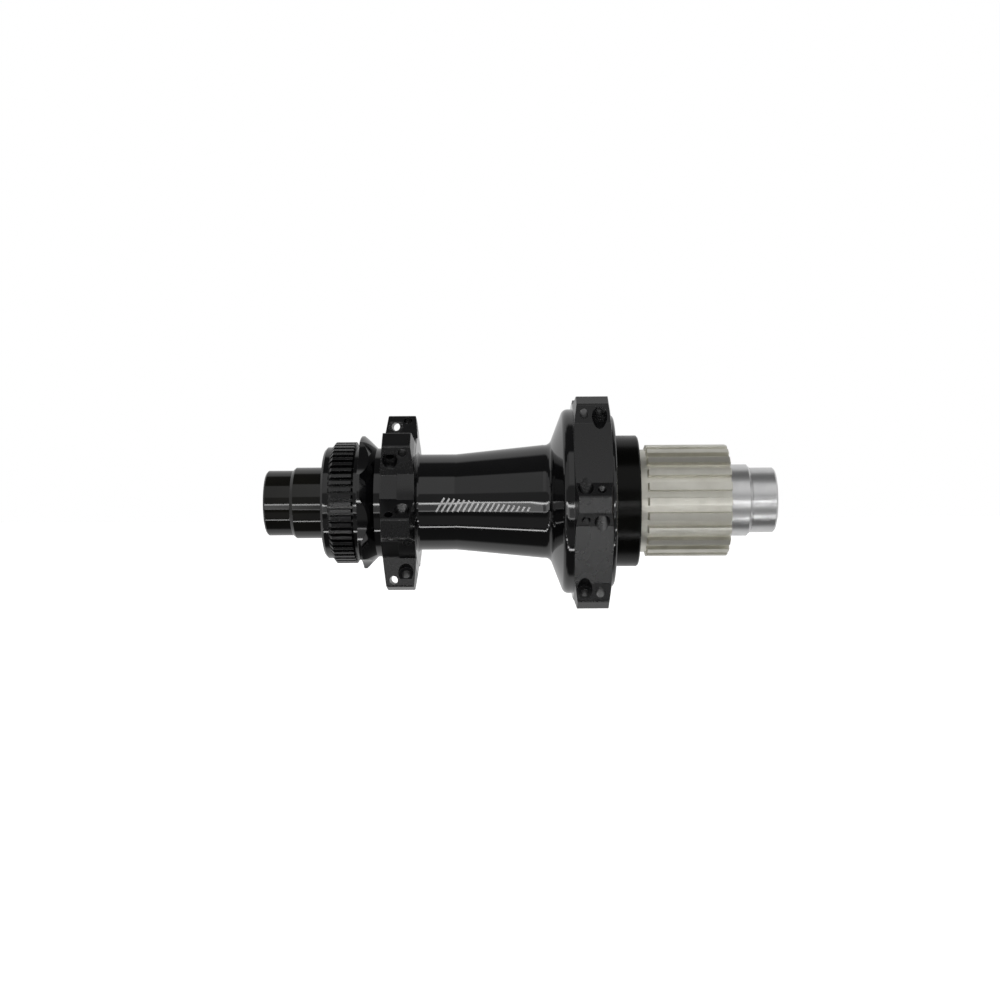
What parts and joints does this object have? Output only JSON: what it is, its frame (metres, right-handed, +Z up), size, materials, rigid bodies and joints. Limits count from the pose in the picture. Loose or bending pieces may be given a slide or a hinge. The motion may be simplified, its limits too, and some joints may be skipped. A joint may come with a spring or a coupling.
{
  "type": "bicycle rear hub",
  "caption": "Bicycle rear hub with two lugged spoke flanges, a splined brake-rotor mount, a splined freehub with pawls, and end caps for a through axle.",
  "frame": {"origin": "on the hub's axis, midway between the two end faces", "axes": "+Y along the hub's axis towards the drive side, +Z up, +X towards the viewer who has the drive side on the right"},
  "size_m": [0.0668, 0.148, 0.061],
  "materials": {
    "shell_black": "gloss black anodised",
    "cap_black": "satin black anodised",
    "cap_silver": "bright turned",
    "freehub_alloy": "satin, warm grey",
    "seal_black": "satin black",
    "axle_alloy": "machined",
    "bearing_steel": "ground and polished",
    "ratchet_steel": "hardened, dark",
    "spring_steel": "blued",
    "seal_rubber": "matt",
    "cage_resin": "matt"
  },
  "bodies": {
    "axle": {"axle": "axle_alloy", "nds_end_cap": "cap_black", "ds_end_cap": "cap_silver", "nds_cap_o_ring": "seal_rubber", "ds_cap_o_ring": "seal_rubber", "drive_spacer": "axle_alloy", "freehub_bearing_spacer": "axle_alloy", "nds_bearing_inner_race": "bearing_steel", "ds_bearing_inner_race": "bearing_steel", "freehub_inboard_inner_race": "bearing_steel", "freehub_outboard_inner_race": "bearing_steel"},
    "shell": {"hub_shell": "shell_black", "ratchet_ring": "ratchet_steel", "nds_bearing_outer_race": "bearing_steel", "nds_bearing_seals": "seal_rubber", "ds_bearing_outer_race": "bearing_steel", "ds_bearing_seals": "seal_rubber"},
    "freehub": {"freehub_body": "freehub_alloy", "freehub_seal_ring": "seal_black", "freehub_circlip": "spring_steel", "pawl_springs": "spring_steel", "freehub_inboard_outer_race": "bearing_steel", "freehub_inboard_seals": "seal_rubber", "freehub_outboard_outer_race": "bearing_steel", "freehub_outboard_seals": "seal_rubber"},
    "pawl_1": {"pawl_1": "ratchet_steel"},
    "pawl_2": {"pawl_2": "ratchet_steel"},
    "pawl_3": {"pawl_3": "ratchet_steel"},
    "pawl_4": {"pawl_4": "ratchet_steel"},
    "nds_ball_set": {"nds_bearing_balls": "bearing_steel", "nds_bearing_cage": "cage_resin"},
    "ds_ball_set": {"ds_bearing_balls": "bearing_steel", "ds_bearing_cage": "cage_resin"},
    "freehub_inboard_ball_set": {"freehub_inboard_balls": "bearing_steel", "freehub_inboard_cage": "cage_resin"},
    "freehub_outboard_ball_set": {"freehub_outboard_balls": "bearing_steel", "freehub_outboard_cage": "cage_resin"}
  },
  "joints": [
    {"name": "shell_spin", "type": "hinge", "parent": "axle", "child": "shell", "pos_m": [0, 0, 0], "axis": [0, 1, 0], "continuous": true},
    {"name": "freewheel_spin", "type": "hinge", "parent": "shell", "child": "freehub", "pos_m": [0, 0, 0], "axis": [0, 1, 0], "continuous": true},
    {"name": "nds_ball_set_roll", "type": "hinge", "parent": "axle", "child": "nds_ball_set", "pos_m": [0, 0, 0], "axis": [0, 1, 0], "continuous": true},
    {"name": "ds_ball_set_roll", "type": "hinge", "parent": "axle", "child": "ds_ball_set", "pos_m": [0, 0, 0], "axis": [0, 1, 0], "continuous": true},
    {"name": "freehub_inboard_ball_set_roll", "type": "hinge", "parent": "axle", "child": "freehub_inboard_ball_set", "pos_m": [0, 0, 0], "axis": [0, 1, 0], "continuous": true},
    {"name": "freehub_outboard_ball_set_roll", "type": "hinge", "parent": "axle", "child": "freehub_outboard_ball_set", "pos_m": [0, 0, 0], "axis": [0, 1, 0], "continuous": true},
    {"name": "pawl_1_lift", "type": "hinge", "parent": "freehub", "child": "pawl_1", "pos_m": [0.01494, 0.02365, -0.00544], "axis": [0, -1, 0], "range_deg": [0, 14.4], "stiffness_Nm_per_rad": 0.0005, "springref_deg": -28.65, "deforming": ["pawl_springs"]},
    {"name": "pawl_2_lift", "type": "hinge", "parent": "freehub", "child": "pawl_2", "pos_m": [-0.00544, 0.02365, -0.01494], "axis": [0, -1, 0], "range_deg": [0, 14.4], "stiffness_Nm_per_rad": 0.0005, "springref_deg": -28.65, "deforming": ["pawl_springs"]},
    {"name": "pawl_3_lift", "type": "hinge", "parent": "freehub", "child": "pawl_3", "pos_m": [-0.01494, 0.02365, 0.00544], "axis": [0, -1, 0], "range_deg": [0, 14.4], "stiffness_Nm_per_rad": 0.0005, "springref_deg": -28.65, "deforming": ["pawl_springs"]},
    {"name": "pawl_4_lift", "type": "hinge", "parent": "freehub", "child": "pawl_4", "pos_m": [0.00544, 0.02365, 0.01494], "axis": [0, -1, 0], "range_deg": [0, 14.4], "stiffness_Nm_per_rad": 0.0005, "springref_deg": -28.65, "deforming": ["pawl_springs"]}
  ],
  "couplings": [
    {"joint": "nds_ball_set_roll", "follows": "shell_spin", "ratio": 0.5814},
    {"joint": "ds_ball_set_roll", "follows": "shell_spin", "ratio": 0.5745},
    {"joint": "freehub_inboard_ball_set_roll", "follows": "shell_spin", "ratio": 0.5581},
    {"joint": "freehub_outboard_ball_set_roll", "follows": "shell_spin", "ratio": 0.5581}
  ]
}
